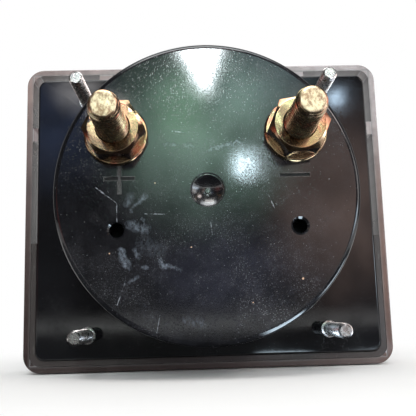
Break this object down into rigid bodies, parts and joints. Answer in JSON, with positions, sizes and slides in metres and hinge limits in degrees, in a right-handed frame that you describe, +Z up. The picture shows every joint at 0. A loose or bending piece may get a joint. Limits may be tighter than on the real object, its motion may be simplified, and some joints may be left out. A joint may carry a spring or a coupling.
{
  "type": "analog panel meter",
  "caption": "Analog moving-coil panel meter: clear rectangular front cover, round black barrel behind the panel, two threaded terminals and threaded mounting studs.",
  "frame": {"origin": "middle of the four mounting studs, on the flange's face that lies on the panel", "axes": "+Y out of the back along the barrel and terminals, -Y the way the dial faces, +Z up the dial, +X to the right of someone who reads the dial"},
  "size_m": [0.08, 0.0594, 0.068],
  "materials": {
    "case_plastic": "glossy moulded, handled",
    "cover_plastic": "clear, slightly smoked",
    "apron_plastic": "glossy moulded",
    "zero_screw_plastic": "glossy moulded",
    "stud_steel": "bright zinc",
    "terminal_metal": "yellow passivated",
    "nut_metal": "yellow passivated",
    "washer_metal": "yellow passivated",
    "tag_brass": "tinned",
    "frame_plastic": "moulded",
    "yoke_steel": "zinc plated",
    "magnet": "ground",
    "key_brass": "plain",
    "bridge_brass": "stamped",
    "screw_steel": "zinc plated",
    "jewel_brass": "turned",
    "former_aluminium": "plain",
    "winding_copper": "enamelled copper wire",
    "pivot_steel": "polished",
    "pointer_paint": "matt black on aluminium",
    "weight_brass": "plain",
    "spring_bronze": "plain",
    "lever_aluminium": "stamped",
    "dial_paint": "satin white with printed scale",
    "stop_metal": "plain",
    "lead_red": "insulated wire",
    "lead_black": "insulated wire"
  },
  "bodies": {
    "housing": {"rear_case": "case_plastic", "front_cover": "cover_plastic", "apron": "apron_plastic", "mounting_stud_top_left": "stud_steel", "mounting_stud_top_right": "stud_steel", "mounting_stud_bottom_left": "stud_steel", "mounting_stud_bottom_right": "stud_steel", "terminal_stud_plus": "terminal_metal", "terminal_stud_minus": "terminal_metal", "terminal_washer_plus": "washer_metal", "terminal_washer_minus": "washer_metal", "terminal_nut_plus": "nut_metal", "terminal_nut_minus": "nut_metal", "solder_tag_plus": "tag_brass", "solder_tag_minus": "tag_brass", "lead_plus": "lead_red", "lead_minus": "lead_black", "movement_frame": "frame_plastic", "movement_screw_left": "screw_steel", "movement_screw_right": "screw_steel", "yoke_ring": "yoke_steel", "core_magnet": "magnet", "core_key_top": "key_brass", "core_key_bottom": "key_brass", "rear_bridge": "bridge_brass", "front_bridge": "bridge_brass", "rear_bridge_screw_left": "screw_steel", "rear_bridge_screw_right": "screw_steel", "front_bridge_screw_left": "screw_steel", "front_bridge_screw_right": "screw_steel", "rear_jewel_screw": "jewel_brass", "front_jewel_screw": "jewel_brass", "rear_lock_nut": "jewel_brass", "front_lock_nut": "jewel_brass", "rear_hairspring": "spring_bronze", "dial_plate": "dial_paint", "dial_screw_left": "screw_steel", "dial_screw_right": "screw_steel", "pointer_stop_left": "stop_metal", "pointer_stop_right": "stop_metal"},
    "moving_coil": {"coil_former": "former_aluminium", "coil_winding": "winding_copper", "rear_pivot": "pivot_steel", "front_pivot": "pivot_steel", "pointer": "pointer_paint", "tail_weight": "weight_brass", "side_weight_low": "weight_brass", "side_weight_high": "weight_brass"},
    "zero_lever": {"zero_lever": "lever_aluminium", "front_hairspring": "spring_bronze"},
    "zero_screw": {"zero_screw": "zero_screw_plastic"}
  },
  "joints": [
    {"name": "coil_turn", "type": "hinge", "parent": "housing", "child": "moving_coil", "pos_m": [0, 0, -0.011], "axis": [0, 1, 0], "range_deg": [-3, 93], "stiffness_Nm_per_rad": 0.000015},
    {"name": "zero_screw_turn", "type": "hinge", "parent": "housing", "child": "zero_screw", "pos_m": [0, 0, -0.02], "axis": [0, 1, 0], "range_deg": [-60, 60]},
    {"name": "zero_lever_turn", "type": "hinge", "parent": "housing", "child": "zero_lever", "pos_m": [0, 0, -0.011], "axis": [0, 1, 0], "range_deg": [-7, 7]}
  ],
  "couplings": [
    {"joint": "zero_lever_turn", "follows": "zero_screw_turn", "ratio": 0.108}
  ]
}
